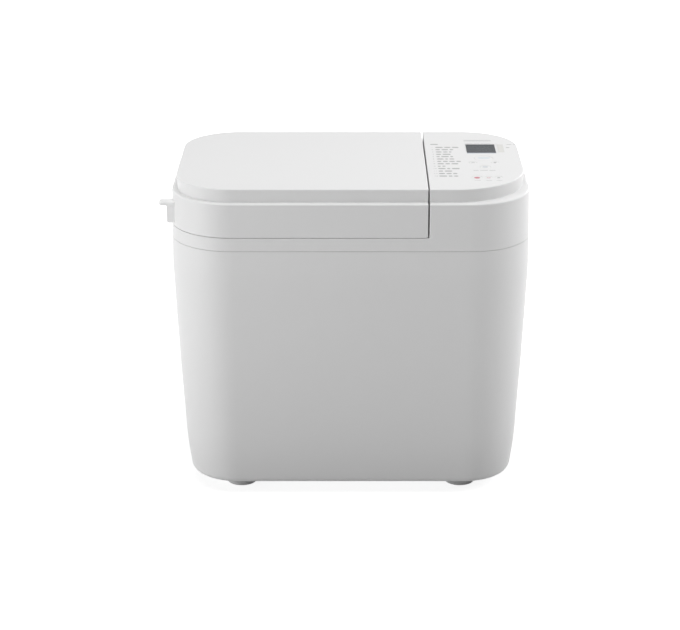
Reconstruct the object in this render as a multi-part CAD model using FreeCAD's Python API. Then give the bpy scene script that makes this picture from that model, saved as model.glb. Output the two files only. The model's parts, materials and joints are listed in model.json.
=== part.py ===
import FreeCAD, Part
import math
import os

# Bread machine: housing, hinged lid, control panel, baking chamber, lift-out pan and belt drive.
# Millimetres, +Z up, front towards -Y. Sizes are drawn from the middle of the housing; every node is
# then moved in X so that the origin lies under the middle of the overall box, lid grip included.

V = FreeCAD.Vector
FAR = 400.0               # beyond the whole machine, for cutting tools
PAST = 1.0                # how far a cutting tool runs past what it cuts
TOUCH = 0.01              # lengths closer than this count as equal
SINK = 0.2                # how far a post or root reaches into the wall it joins

# --- outer form ---
half_x = 198.2            # widest half width, just under the deck seam
half_y = 126.0            # widest half depth
corner_r = 69.0           # plan corner radius at the widest level
top_z = 362.0             # top of the lid and of the control housing
ledge_z = 347.0           # ledge round the raised top plate
plate_inset = 6.5         # raised plate's edge from the widest outline
panel_corner_r = 87.0     # wider outline radius that the plate follows at the panel's front corner
ledge_inset = 1.3         # wall just under the ledge from the widest outline
plate_edge_r = 1.2
ledge_edge_r = 1.9
neck_r = 0.4              # hollow between ledge and raised plate
neck_lean = 1.5           # how far the plate's side leans in below its top edge
body_z = 12.2             # underside of the body
bottom_r = 8.5            # rounding under the side walls
bottom_inset = 14.6       # wall inset where that rounding starts
bottom_lean = 8.5         # outward lean of the wall there, degrees
taper = [(0.0, 272.0), (0.7, 244.0), (2.3, 206.0), (4.1, 168.0), (6.1, 129.0), (8.5, 89.0), (10.8, 50.0)]
least_r = 0.3             # smallest rounding left on an inner surface

# --- housing walls and seams ---
shell_t = 2.6
deck_t = 2.5
seam_low = 293.5          # top of the body shell
seam_high = 293.9         # lower edge of the deck
deck_z = 308.7            # deck's top under the lid
lid_z = 309.3             # lid's lower edge
lid_x = 83.3              # lid's right end
housing_x = 84.9          # control housing's left end
housing_edge_r = 1.0      # rounding on the control housing's left end
lid_edge_r = 0.6          # rounding on the lid's right end
lid_corner_r = 2.2        # lid's lower right corner, seen from the front
seam_edge_r = 0.6         # rounding along the deck's level edge
floor_inset = 28.0        # opening in the body's underside from the widest outline
lip_inset, lip_t = 3.6, 1.4
lip_low, lip_top = 286.0, 302.0
collar_inset, collar_t = 2.0, 3.0

# --- fasteners ---
screw_r = 1.5             # base screws
small_screw_r = 1.2       # screws into plastic posts
post_r = 3.5
hole_gap = 0.3            # clearance round a screw that passes through a sheet

# --- base ---
base_t = 2.4
base_z = body_z + shell_t
base_inset = 25.8
base_top = base_z + base_t
vent_half, vent_w, vent_pitch, vent_rows = 26.0, 4.0, 14.0, 7
vent_x = 60.0
foot_x, foot_y, foot_r = 125.0, 73.5, 17.0
foot_edge_r, foot_dimple_r, foot_dimple = 1.2, 5.0, 3.0
foot_stem_r, foot_knob_r, foot_knob_t = 4.0, 5.5, 2.0
leg_x, leg_y = (-150.0, 165.0), 56.0
base_screw_l = 12.0
screw_head_r, screw_head_t = 3.4, 2.2
screw_socket_r, screw_socket = 1.4, 1.0
base_hole_gap = 0.1

# --- rear ---
gland_x, gland_z = 150.0, 60.0
gland_r, gland_flange_r, gland_bore = 7.9, 10.5, 3.6
gland_in, gland_out, gland_end = 104.0, 121.0, 120.5
gland_nut_y, gland_collar_y = 107.0, 110.0
gland_hole_gap = 0.1
louvre_x0, louvre_x1, louvre_y = 104.0, 158.0, 100.0
louvre_z, louvre_h, louvre_pitch, louvre_rows = 96.0, 3.0, 9.0, 7

# --- hinge ---
hinge_y = 119.0
hinge_z = deck_z + 7.2
hinge_round = 6.3         # lid's rounded rear edge about the pin
lug_r = 5.0
lug_root = 1.0            # how far the deck lugs reach into the deck
pin_r = 2.5
pin_over = 1.0            # pin beyond the outer lugs
run_gap = 0.05            # radial clearance of running fits
hinge_stations = (-100.0, 40.0)
lid_lug_half = 5.4
deck_lug_in, deck_lug_out = 6.0, 10.0
lug_gap = 0.6             # room for the deck lugs in the lid
lug_rise = 22.0           # lid lug's leaf above the pin
leaf_out = 2.0
web_in, web_out, web_low = 1.0, 5.0, 6.5
lug_room_in, lug_room_top = 8.0, 6.0      # notch in the lid round the deck lugs

# --- lid ---
grip_reach = 12.0         # lid grip beyond the widest half width
grip_y0, grip_y1 = -82.0, -68.0
grip_top, grip_t, grip_low = 336.4, 4.2, 312.5
grip_wall, grip_root, web_side = 3.6, 8.0, 1.0
grip_tip_r, grip_rim_r, grip_heel_r = 3.0, 1.2, 2.4
steam_x, steam_w, steam_pitch, steam_slots = -72.0, 4.0, 9.0, 8
steam_low, steam_top = 326.0, 340.0
lid_posts = ((-184.0, -40.0), (-184.0, 50.0), (70.0, -98.0), (70.0, 90.0))
lid_post_bore_top = 324.0
liner_z, liner_t = 312.3, 1.2
liner_top = 331.2
liner_gap = 0.3
liner_rear = 10.0         # liner's rear edge in front of the hinge pin
liner_hole_r, liner_hole_y, liner_hole_pitch, liner_rows, liner_columns = 1.8, 58.0, 8.0, 3, 9
gasket_out, gasket_in = 3.0, 2.0
pad_top = 343.0
pad_inset_x, pad_inset_y, pad_shift_y, pad_r = 10.0, 34.0, -20.0, 20.0
lid_screw_l, lid_screw_head_r, lid_screw_head_t = 9.7, 2.8, 2.0

# --- baking chamber ---
oven_x = -58.0
oven_hx, oven_hy, oven_r = 118.0, 97.0, 26.0
oven_t = 0.8
oven_low, oven_top = 62.0, 305.9
oven_flange = 6.0
oven_wall_x = oven_x + oven_hx
mouth_inset = 3.0
drain_r = 12.0            # hole in the chamber floor for the drive
skirt_r, skirt_t, skirt_gap = 41.0, 1.6, 0.3
seat_gap, seat_t, seat_top, seat_flange, seat_flange_t = 0.5, 3.5, 74.0, 14.0, 1.6
wall_hole_gap = 0.2       # clearance round what passes through the chamber wall
sensor_y, sensor_z, sensor_r = 40.0, 150.0, 2.8
sensor_in, sensor_out, sensor_flange_t, sensor_flange_r = 16.0, 8.0, 2.0, 6.5
fuse_t, fuse_outline = 5.0, (-52.0, -36.0, 146.0, 158.0)

# --- heating element ---
heater_z = 92.0
heater_hx, heater_hy, heater_r = 104.0, 82.0, 32.0
heater_tube_r = 3.25
heater_gap = 12.0         # half the spacing of its two ends
heater_bend = 8.0
heater_end = 14.0         # ends beyond the chamber wall
bush_r, bush_flange_r, bush_in, bush_out, bush_flange_t = 5.8, 8.5, 4.0, 10.0, 3.0
clip_x, clip_half, clip_low, clip_high, clip_in = 50.0, 4.0, 5.2, 1.0, 5.5

# --- pan ---
pan_hx, pan_hy, pan_r = 93.0, 68.0, 15.0
pan_draft = 7.0
pan_corner_draft = 0.6    # how much of the draft the corner radius takes up
pan_t = 1.2
pan_low, pan_top = 84.0, 234.0
pan_foot_r = 6.0
rim_out, rim_h, rim_edge_r = 2.6, 3.2, 1.4
pan_hole_r = 7.0
sleeve_low, sleeve_top = 78.0, 92.0
sleeve_flange_r, sleeve_flange_t = 12.0, 2.4
sleeve_nut_r, sleeve_nut_low = 11.0, 79.0
ear_z = 226.0
ear_half, ear_drop, ear_t = 12.0, 10.0, 2.4
ear_root = 0.2
ear_reach, ear_pin_r, ear_head_r, ear_head_t = 8.2, 2.6, 4.6, 1.2
bail_h = 66.0
bail_r = 2.0
bail_bend = 18.0
bail_fold = 78.0          # folded angle from upright
bail_gap = 0.15           # play round the ear pins
bail_top = ear_z + bail_h
arm_y = pan_hy + 4.7
eye_r, eye_half, eye_root = 6.0, 1.9, 0.8
grip_half, grip_tube_r, grip_end_r = 34.0, 4.2, 2.0

# --- paddle ---
shaft_r = 4.0
pan_shaft_top = 110.0
paddle_z, paddle_top, hub_r, hub_edge_r = 92.5, 114.0, 9.0, 2.5
paddle_room_r = 13.0      # room under the paddle for the pan's sleeve
blade_half_t, blade_corner_r = 2.2, 2.0
blade_outline = ((6.0, 89.5), (44.0, 89.5), (47.0, 92.0), (45.0, 104.0), (34.0, 118.0), (22.0, 122.0),
                 (13.0, 118.0), (6.0, 110.0))
dog_r, dog_low, dog_top = 18.0, 74.0, 77.5
peg_x, peg_y, peg_half, peg_low = 3.5, 13.5, 3.0, 66.5

# --- drive ---
chassis_z, chassis_t = 54.0, 1.5
chassis_top = chassis_z + chassis_t
chassis_x0, chassis_x1, chassis_y = -158.0, 172.0, 66.0
leg_r, leg_bore_top, stud_r = 5.0, base_z + 14.0, 4.0
motor_hole_r = 8.0
stud_x, stud_y = 84.0, 50.0
motor_x = 125.0
motor_shaft_r = 3.0
belt_z0, belt_z1 = 26.0, 32.0
belt_t, belt_gap = 1.6, 0.15
big_pulley_r, small_pulley_r = 46.0, 9.0
flange_rise, flange_t, groove_gap = 3.0, 1.5, 0.5
spoke_holes, spoke_hole_r, spoke_hole_x = 6, 9.0, 27.0
housing_r, housing_low, housing_flange_r, housing_flange_t = 15.8, 37.0, 34.0, 3.0
bush_bore = 8.0
bush_levels = ((37.5, 44.0), (54.0, 61.0))
drive_shaft_low, drive_shaft_top = 22.0, 70.0
fork_half, fork_w, fork_low, fork_top = 17.0, 3.0, 66.0, 72.0
fork_hub_low, fork_hub_r = 64.5, 7.5

# --- motor ---
motor_half = 31.0
motor_plate_t = 2.5
motor_top_z = 98.0
cup_r, cup_h = 9.0, 4.5
tie_offset, tie_r = 26.0, 3.0
stack_low, stack_top, stack_bore = 68.0, 88.0, 18.0
coil_r, coil_bore, coil_low, coil_high = 25.0, 18.5, (63.5, 68.0), (88.0, 93.0)
rotor_r, rotor_low, rotor_top = 17.6, 67.0, 89.0
fan_r, fan_hub_r, fan_z, fan_blades = 27.0, 7.0, 104.0, 8
fan_disc_t, fan_hub_h, fan_blade_top, fan_blade_half, fan_blade_root = 1.5, 10.0, 113.0, 0.7, 1.0
motor_shaft_low, motor_shaft_top = 21.0, 116.0
capacitor = (104.0, 142.0, 38.0, 58.0)
capacitor_top, capacitor_r = 90.0, 4.0

# --- control panel ---
lcd = (131.2, 168.2, 26.6, 65.8)
lcd_lip, lcd_gap, lcd_seat, lcd_glass_t, lcd_sunk = 0.8, 0.1, 1.3, 1.1, 0.1
lcd_level = 355.0         # where the display's bright area stands on its holder
lcd_area_inset, lcd_holder_inset, lcd_holder_over = 1.2, 0.2, 1.0
keys = {                  # x, y and cap radius
    "key_select": (149.5, 4.0, 10.5),
    "key_minus": (137.0, -14.5, 4.4),
    "key_plus": (161.5, -14.5, 4.4),
    "key_menu": (149.5, -32.0, 6.0),
    "key_start": (138.0, -73.0, 6.0),
    "key_crust": (150.6, -73.0, 4.2),
    "key_stop": (161.6, -73.0, 4.2),
}
key_gap = 0.25
key_travel = 0.6
key_flange, key_flange_t, key_edge_r = 0.9, 2.0, 0.4
key_flange_top = top_z - deck_t - 0.2
key_flange_low = key_flange_top - key_flange_t
key_stem_r, key_stem_l = 1.8, 3.0
switch_half, plunger_r, plunger_h, switch_gap = 3.0, 1.7, 0.8, 0.2
board_z, board_t, board_corner_r = 346.0, 1.6, 20.0
board_top = board_z + board_t
board_outline = (92.0, 174.0, -90.0, 90.0)
chip_outline, chip_t = (108.0, 122.0, -20.0, -6.0), 2.4
plug_outline, plug_t = (104.0, 126.0, 40.0, 48.0), 6.0
board_screw_l, board_screw_head_r, board_screw_head_t = 8.0, 2.8, 1.8
board_posts = ((98.0, -84.0), (98.0, 84.0), (169.0, -50.0), (168.0, 78.0))
card_x, card_t, card_y = 176.6, 1.6, 56.0
card_low, card_top = 112.0, 228.0
card_post_y, card_post_z, card_post_r, card_post_wall = 44.0, (128.0, 212.0), 4.0, 1.0
card_screw_l = 9.0
card_blocks = (           # height off the card, then y and z range
    (30.6, (-26.0, 14.0, 136.0, 170.0)),      # transformer
    (18.6, (22.0, 40.0, 150.0, 178.0)),       # relay
    (16.6, (-50.0, -34.0, 140.0, 160.0)),     # mains filter
    (8.6, (0.0, 24.0, 200.0, 210.0)),         # terminals
)
card_can = (24.6, -30.0, 196.0, 8.0)          # capacitor: height, y, z, radius
shield_x, shield_t, shield_y, shield_top = 68.0, 0.8, 96.0, 292.0
shield_foot_x, shield_foot_y, shield_hole_r = 76.0, 60.0, 8.0

os.makedirs("parts", exist_ok=True)


# --- helpers ---

def box(x0, x1, y0, y1, z0, z1):
    return Part.makeBox(x1 - x0, y1 - y0, z1 - z0, V(x0, y0, z0))


def rod(x, y, z0, z1, r):
    return Part.makeCylinder(r, z1 - z0, V(x, y, z0))


def rod_x(x0, x1, y, z, r):
    return Part.makeCylinder(r, x1 - x0, V(x0, y, z), V(1, 0, 0))


def rod_y(x, y0, y1, z, r):
    return Part.makeCylinder(r, y1 - y0, V(x, y0, z), V(0, 1, 0))


def tube(x, y, z0, z1, r, bore):
    return rod(x, y, z0, z1, r).cut(rod(x, y, z0 - PAST, z1 + PAST, bore))


def slab(z0, z1, x0=-FAR, x1=FAR):
    return box(x0, x1, -FAR, FAR, z0, z1)


def fuse(shapes):
    return shapes[0].multiFuse(shapes[1:]).removeSplitter()


def cut_all(shape, tools):
    for tool in tools:
        shape = shape.cut(tool)
    return shape


def group(shapes):
    return Part.makeCompound(shapes)


def save(name, shape):
    """Writes one node, moved so that the overall box is centred on the origin."""
    moved = shape if shape.ShapeType == "Compound" else shape.removeSplitter()
    moved = moved.copy()
    moved.translate(V(grip_reach / 2, 0, 0))
    moved.exportStep("parts/" + name + ".step")


def line(a, b):
    return Part.LineSegment(a, b).toShape()


def corner_turn(centre, r, first, last, lift):
    """Arc about a centre between two angles in degrees; lift places (right, up) in space."""
    angles = [math.radians(v) for v in (first, (first + last) / 2, last)]
    return Part.Arc(*[centre + lift(r * math.cos(v), r * math.sin(v)) for v in angles]).toShape()


def level_turn(centre, r, first, last):
    return corner_turn(centre, r, first, last, lambda right, up: V(right, up, 0))


def side_turn(centre, r, first, last):
    return corner_turn(centre, r, first, last, lambda right, up: V(right, 0, up))


def front_turn(centre, r, first, last):
    return corner_turn(centre, r, first, last, lambda right, up: V(0, right, up))


def plan_wire(hx, hy, r, z, cx=0.0, cy=0.0):
    """Rounded rectangle in plan."""
    qx, qy = hx - r, hy - r
    places = ((qx, qy), (-qx, qy), (-qx, -qy), (qx, -qy))
    turns = [level_turn(V(cx + x, cy + y, z), r, 90 * k, 90 * k + 90) for k, (x, y) in enumerate(places)]
    edges = []
    for turn, following in zip(turns, turns[1:] + turns[:1]):
        edges += [turn, line(turn.Vertexes[-1].Point, following.Vertexes[0].Point)]
    return Part.Wire(edges)


def plan_prism(hx, hy, r, z0, z1, cx=0.0, cy=0.0):
    return Part.Face(plan_wire(hx, hy, r, z0, cx, cy)).extrude(V(0, 0, z1 - z0))


def plan_frame(hx, hy, r, z0, z1, wall, cx=0.0):
    """A wall of even thickness round a rounded rectangle."""
    room = plan_prism(hx - wall, hy - wall, r - wall, z0 - PAST, z1 + PAST, cx)
    return plan_prism(hx, hy, r, z0, z1, cx).cut(room)


def turned_form(edges, hx, hy, r, floor_z, roof_z):
    """Solid whose side profile runs round a rounded rectangle; edges are drawn from the corner axis out."""
    face = Part.Face(Part.Wire(edges))
    qx, qy = hx - r, hy - r
    pieces = [box(-qx, qx, -qy, qy, floor_z, roof_z)]
    for turn, cx, cy, run in ((0, qx, qy, V(0, -2 * qy, 0)), (90, -qx, qy, V(2 * qx, 0, 0)),
                              (180, -qx, -qy, V(0, 2 * qy, 0)), (270, qx, -qy, V(-2 * qx, 0, 0))):
        side = face.copy()
        side.rotate(V(0, 0, 0), V(0, 0, 1), turn)
        side.translate(V(cx, cy, 0))
        pieces.append(side.revolve(V(cx, cy, 0), V(0, 0, 1), 90))
        pieces.append(side.extrude(run))
    return fuse(pieces)


def outer_form(t):
    """The whole outside as one solid, every surface moved inwards by t."""
    r = corner_r
    floor_z, roof_z, shelf_z = body_z + t, top_z - t, ledge_z - t
    low_r, hollow_r = bottom_r - t, neck_r + t
    edge_r, top_r = max(ledge_edge_r - t, least_r), max(plate_edge_r - t, least_r)
    low = V(r - bottom_inset - bottom_r, 0, floor_z + low_r)
    ledge = V(r - ledge_inset - t - edge_r, 0, shelf_z - edge_r)
    neck = V(r - plate_inset - t - neck_lean + hollow_r, 0, shelf_z + hollow_r)
    plate = V(r - plate_inset - t - top_r, 0, roof_z - top_r)
    across = plate - neck
    reach = math.hypot(across.x, across.z)
    lean = math.degrees(math.acos(-(hollow_r + top_r) / reach) - math.atan2(across.z, across.x))
    belly = side_turn(low, low_r, -90, -bottom_lean)
    brim = side_turn(ledge, edge_r, 0, 90)
    hollow = side_turn(neck, hollow_r, 270, 180 - lean)
    crown = side_turn(plate, top_r, -lean, 90)
    climb = [belly.Vertexes[-1].Point] + [V(r - inset - t, 0, z) for inset, z in reversed(taper)]
    slope = math.radians(bottom_lean)
    wall = Part.BSplineCurve()
    wall.interpolate(Points=climb, InitialTangent=V(math.sin(slope), 0, math.cos(slope)),
                     FinalTangent=V(0, 0, 1))
    side = [hollow, line(hollow.Vertexes[-1].Point, crown.Vertexes[0].Point), crown]
    edges = [belly, wall.toShape(), line(climb[-1], brim.Vertexes[0].Point), brim,
             line(brim.Vertexes[-1].Point, hollow.Vertexes[0].Point)] + side
    roof, floor = V(0, 0, roof_z), V(0, 0, floor_z)
    edges += [line(crown.Vertexes[-1].Point, roof), line(roof, floor), line(floor, belly.Vertexes[0].Point)]
    form = turned_form(edges, half_x, half_y, r, floor_z, roof_z)
    return form.cut(panel_corner(side, shelf_z, roof_z))


def panel_corner(side, shelf_z, roof_z):
    """What the plate gives up at the panel's front corner; side is the plate's side profile."""
    qx, qy = half_x - panel_corner_r, half_y - panel_corner_r
    widening = V(panel_corner_r - corner_r, 0, 0)
    side = [edge.translated(widening) for edge in side]
    foot, top = side[0].Vertexes[0].Point, side[-1].Vertexes[-1].Point
    shelf, roof = V(0, 0, shelf_z), V(0, 0, roof_z)
    face = Part.Face(Part.Wire(side + [line(top, roof), line(roof, shelf), line(shelf, foot)]))
    face.rotate(V(0, 0, 0), V(0, 0, 1), 270)
    face.translate(V(qx, -qy, 0))
    kept = face.revolve(V(qx, -qy, 0), V(0, 0, 1), 90)
    return box(qx, half_x, -half_y, -qy, shelf_z, roof_z + PAST).cut(kept)


def flat_at(edge, x):
    """True for an edge that lies in the plane at x."""
    return edge.BoundBox.XLength < TOUCH and abs(edge.BoundBox.XMin - x) < TOUCH


def level_at(edge, z):
    """True for an edge that lies level at height z."""
    return edge.BoundBox.ZLength < TOUCH and abs(edge.BoundBox.ZMin - z) < TOUCH


def card_holes():
    """Centres of the screws that hold the power board, as y and z."""
    return [(y, z) for y in (-card_post_y, card_post_y) for z in card_post_z]


def leg_places():
    """Plan centres of the chassis legs."""
    return [(x, y) for x in leg_x for y in (-leg_y, leg_y)]


def foot_places():
    return [(x, y) for x in (-foot_x, foot_x) for y in (-foot_y, foot_y)]


outside = outer_form(0.0)
inside_shell = outer_form(shell_t)
inside_deck = outer_form(deck_t)


# --- body ---

def inset_prism(inset, z0, z1):
    """Block that follows the widest outline an inset inside it."""
    return plan_prism(half_x - inset, half_y - inset, corner_r - inset, z0, z1)


def inset_frame(inset, z0, z1, wall):
    return plan_frame(half_x - inset, half_y - inset, corner_r - inset, z0, z1, wall)


def body_shell():
    shell = outside.cut(inside_shell).common(slab(0, seam_low))
    shell = shell.cut(inset_prism(floor_inset, 0, base_z + PAST))
    lip = inset_frame(lip_inset, lip_low, lip_top, lip_t)
    collar = inset_frame(collar_inset, lip_low, lip_low + collar_t, collar_t)
    shell = fuse([shell, lip, collar.common(outside)])
    wall = outer_form(card_post_wall)
    for y, z in card_holes():
        post = rod_x(card_x + card_t, half_x, y, z, card_post_r).common(wall)
        shell = shell.fuse(post.cut(rod_x(card_x, card_x + card_screw_l, y, z, small_screw_r)))
    shell = shell.cut(rod_y(gland_x, louvre_y, FAR, gland_z, gland_r + gland_hole_gap))
    return cut_all(shell, rear_louvres())


def rear_louvres():
    levels = [louvre_z + louvre_pitch * row for row in range(louvre_rows)]
    return [box(louvre_x0, louvre_x1, louvre_y, FAR, z, z + louvre_h) for z in levels]


def base_plate():
    plate = inset_prism(base_inset, base_z, base_top)
    for x in (-vent_x, vent_x):
        for row in range(vent_rows):
            y = vent_pitch * (row - (vent_rows - 1) / 2)
            plate = plate.cut(box(x - vent_half, x + vent_half, y - vent_w / 2, y + vent_w / 2, 0, FAR))
    plate = cut_all(plate, [rod(x, y, 0, FAR, foot_stem_r) for x, y in foot_places()])
    return cut_all(plate, [rod(x, y, 0, FAR, screw_r + base_hole_gap) for x, y in leg_places()])


def rubber_foot(x, y):
    foot = rod(x, y, 0, base_z, foot_r)
    foot = foot.makeFillet(foot_edge_r, [e for e in foot.Edges if level_at(e, 0.0)])
    stem = rod(x, y, base_z, base_top, foot_stem_r)
    knob = rod(x, y, base_top, base_top + foot_knob_t, foot_knob_r)
    return fuse([foot, stem, knob]).cut(rod(x, y, -PAST, foot_dimple, foot_dimple_r))


def rubber_feet():
    return group([rubber_foot(x, y) for x, y in foot_places()])


def base_screw(x, y):
    head = rod(x, y, base_z - screw_head_t, base_z, screw_head_r)
    socket = rod(x, y, 0, base_z - screw_head_t + screw_socket, screw_socket_r)
    return head.cut(socket).fuse(rod(x, y, base_z, base_z + base_screw_l, screw_r)).removeSplitter()


def base_screws():
    return group([base_screw(x, y) for x, y in leg_places()])


def cord_gland():
    nut = rod_y(gland_x, gland_nut_y, gland_end, gland_z, gland_flange_r).common(inside_shell)
    collar = rod_y(gland_x, gland_collar_y, gland_end, gland_z, gland_flange_r).cut(outside)
    gland = rod_y(gland_x, gland_in, gland_out, gland_z, gland_r).fuse([nut, collar])
    return gland.cut(rod_y(gland_x, gland_in - PAST, gland_out + PAST, gland_z, gland_bore))


# --- deck and control panel ---

def deck_lugs():
    lugs = []
    for x in hinge_stations:
        for a, b in ((-deck_lug_out, -deck_lug_in), (deck_lug_in, deck_lug_out)):
            lug = rod_x(x + a, x + b, hinge_y, hinge_z, lug_r)
            leg = box(x + a, x + b, hinge_y - lug_r, hinge_y + lug_r, deck_z - lug_root, hinge_z)
            lugs.append(lug.fuse(leg).cut(rod_x(-FAR, FAR, hinge_y, hinge_z, pin_r)))
    return lugs


def beside_mouth(edge):
    centre = edge.BoundBox.Center
    return abs(centre.x - oven_x) > oven_hx or abs(centre.y) > oven_hy


def soften_deck(deck):
    """Rounds the control housing's left end and the level edge under the lid."""
    end = [e for e in deck.Edges if flat_at(e, housing_x) and e.BoundBox.ZMin > deck_z - TOUCH
           and not level_at(e, deck_z)]
    deck = deck.makeFillet(housing_edge_r, end)
    rim = [e for e in deck.Edges if level_at(e, deck_z) and e.BoundBox.XMax < housing_x + TOUCH
           and beside_mouth(e)]
    return deck.makeFillet(seam_edge_r, rim)


def top_deck():
    lid_room = slab(deck_z, FAR, -FAR, housing_x)
    shell = outside.common(slab(seam_high, FAR)).cut(inside_deck).cut(lid_room)
    tray = outside.common(slab(deck_z - deck_t, deck_z, -FAR, housing_x + deck_t))
    wall = outside.common(slab(deck_z - deck_t, FAR, housing_x, housing_x + deck_t))
    mouth_r = oven_r - mouth_inset
    mouth = plan_prism(oven_hx - mouth_inset, oven_hy - mouth_inset, mouth_r, 0, FAR, oven_x)
    deck = fuse([shell, tray, wall]).cut(mouth)
    deck = fuse([soften_deck(deck)] + deck_lugs())
    x0, x1, y0, y1 = lcd
    sight = box(x0 + lcd_lip, x1 - lcd_lip, y0 + lcd_lip, y1 - lcd_lip, board_z, FAR)
    seat = box(x0 - lcd_gap, x1 + lcd_gap, y0 - lcd_gap, y1 + lcd_gap, top_z - lcd_seat, FAR)
    deck = cut_all(deck, [sight, seat])
    deck = cut_all(deck, [rod(x, y, board_z, FAR, r + key_gap) for x, y, r in keys.values()])
    return fuse([deck] + [board_post(x, y) for x, y in board_posts])


def board_post(x, y):
    post = rod(x, y, board_top, top_z - deck_t + SINK, post_r)
    return post.cut(rod(x, y, board_z, board_z + board_screw_l + PAST, small_screw_r))


def hinge_pins():
    reach = deck_lug_out + pin_over
    return group([rod_x(x - reach, x + reach, hinge_y, hinge_z, pin_r) for x in hinge_stations])


def lcd_window():
    x0, x1, y0, y1 = lcd
    return box(x0, x1, y0, y1, top_z - lcd_sunk - lcd_glass_t, top_z - lcd_sunk)


def lcd_module():
    x0, x1, y0, y1 = lcd
    a, b, over = lcd_area_inset, lcd_holder_inset, lcd_holder_over
    area = box(x0 + a, x1 - a, y0 + a, y1 - a, lcd_level, top_z - lcd_seat - SINK)
    holder = box(x0 + b, x1 - b, y0 - over, y1 + over, board_top, lcd_level)
    return area.fuse(holder)


def key_cap(x, y, r):
    cap = rod(x, y, key_flange_low, top_z, r)
    cap = cap.makeFillet(key_edge_r, [e for e in cap.Edges if level_at(e, top_z)])
    flange = rod(x, y, key_flange_low, key_flange_top, r + key_flange)
    stem = rod(x, y, key_flange_low - key_stem_l, key_flange_low, key_stem_r)
    return fuse([cap, flange, stem])


def key_switches():
    top = key_flange_low - key_stem_l - key_travel - switch_gap
    low, half = top - plunger_h, switch_half
    switches = []
    for x, y, _ in keys.values():
        body = box(x - half, x + half, y - half, y + half, board_top, low)
        switches.append(body.fuse(rod(x, y, low, top, plunger_r)))
    return group(switches)


def control_board():
    board = box(*board_outline, board_z, board_top)
    front_right = [e for e in board.Edges if flat_at(e, board_outline[1])
                   and abs(e.BoundBox.YMax - board_outline[2]) < TOUCH]
    board = board.makeFillet(board_corner_r, front_right)
    board = cut_all(board, [rod(x, y, 0, FAR, small_screw_r + hole_gap) for x, y in board_posts])
    chip = box(*chip_outline, board_z - chip_t, board_z)
    plug = box(*plug_outline, board_z - plug_t, board_z)
    return fuse([board, chip, plug])


def board_screws():
    screws = []
    for x, y in board_posts:
        head = rod(x, y, board_z - board_screw_head_t, board_z, board_screw_head_r)
        screws.append(head.fuse(rod(x, y, board_z, board_z + board_screw_l, small_screw_r)))
    return group(screws)


def power_board():
    card = box(card_x, card_x + card_t, -card_y, card_y, card_low, card_top)
    return cut_all(card, [rod_x(0, FAR, y, z, small_screw_r + hole_gap) for y, z in card_holes()])


def power_parts():
    blocks = [box(card_x - height, card_x, *outline) for height, outline in card_blocks]
    can_h, can_y, can_z, can_r = card_can
    return group(blocks + [rod_x(card_x - can_h, card_x, can_y, can_z, can_r)])


# --- lid ---

def lid_lug(x):
    a, b = x - lid_lug_half, x + lid_lug_half
    lug = rod_x(a, b, hinge_y, hinge_z, lug_r)
    leaf = box(a, b, hinge_y - lug_r, hinge_y + leaf_out, hinge_z, hinge_z + lug_rise)
    web = box(a, b, hinge_y + web_in, hinge_y + web_out, hinge_z + web_low, hinge_z + lug_rise)
    return fuse([lug, leaf, web]).cut(rod_x(-FAR, FAR, hinge_y, hinge_z, pin_r + run_gap))


def lid_cover():
    cover = outside.common(slab(lid_z, FAR, -FAR, lid_x))
    cover = cover.cut(inside_deck.common(slab(0, FAR, -FAR, lid_x - deck_t)))
    swing = rod_x(-FAR, FAR, hinge_y, hinge_z, hinge_round)
    cover = cover.cut(box(-FAR, FAR, hinge_y, FAR, 0, hinge_z).cut(swing))
    end = [e for e in cover.Edges if flat_at(e, lid_x) and e.BoundBox.ZMax > hinge_z]
    cover = cover.makeFillet(lid_edge_r, end)
    corner = box(lid_x - lid_corner_r, FAR, -FAR, FAR, 0, lid_z + lid_corner_r)
    cover = cover.cut(corner.cut(rod_y(lid_x - lid_corner_r, -FAR, FAR, lid_z + lid_corner_r, lid_corner_r)))
    room = deck_lug_out + lug_gap
    cover = cut_all(cover, [box(x - room, x + room, hinge_y - lug_room_in, FAR, 0, hinge_z + lug_room_top)
                            for x in hinge_stations])
    cover = fuse([cover] + [lid_lug(x) for x in hinge_stations])
    slots = [steam_x + steam_pitch * step for step in range(steam_slots)]
    cover = cut_all(cover, [box(x, x + steam_w, hinge_y, FAR, steam_low, steam_top) for x in slots])
    return fuse([cover] + [lid_post(x, y) for x, y in lid_posts])


def lid_post(x, y):
    post = rod(x, y, liner_z + liner_t, top_z - deck_t + SINK, post_r)
    return post.cut(rod(x, y, 0, lid_post_bore_top, small_screw_r))


def lid_liner():
    inset = deck_t + liner_gap
    brim = outer_form(inset).common(slab(liner_z, liner_z + liner_t, -FAR, lid_x - inset))
    brim = brim.common(box(-FAR, FAR, -FAR, hinge_y - liner_rear, 0, FAR))
    hx, hy, r = oven_hx - gasket_in, oven_hy - gasket_in, oven_r - gasket_in
    hat = plan_prism(hx, hy, r, liner_z, liner_top, oven_x)
    room = plan_prism(hx - liner_t, hy - liner_t, r - liner_t, 0, liner_top - liner_t, oven_x)
    liner = fuse([brim, hat]).cut(room)
    for row in range(liner_rows):
        for column in range(liner_columns):
            x = oven_x + liner_hole_pitch * (column - (liner_columns - 1) / 2)
            y = liner_hole_y + liner_hole_pitch * row
            liner = liner.cut(rod(x, y, liner_z, FAR, liner_hole_r))
    return cut_all(liner, [rod(x, y, 0, FAR, small_screw_r + hole_gap) for x, y in lid_posts])


def lid_gasket():
    return plan_frame(oven_hx + gasket_out, oven_hy + gasket_out, oven_r + gasket_out,
                      lid_z, liner_z, gasket_out + gasket_in, oven_x)


def lid_insulation():
    hx, hy = oven_hx - gasket_in - pad_inset_x, oven_hy - gasket_in - pad_inset_y
    return plan_prism(hx, hy, pad_r, liner_top, pad_top, oven_x, pad_shift_y)


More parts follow.
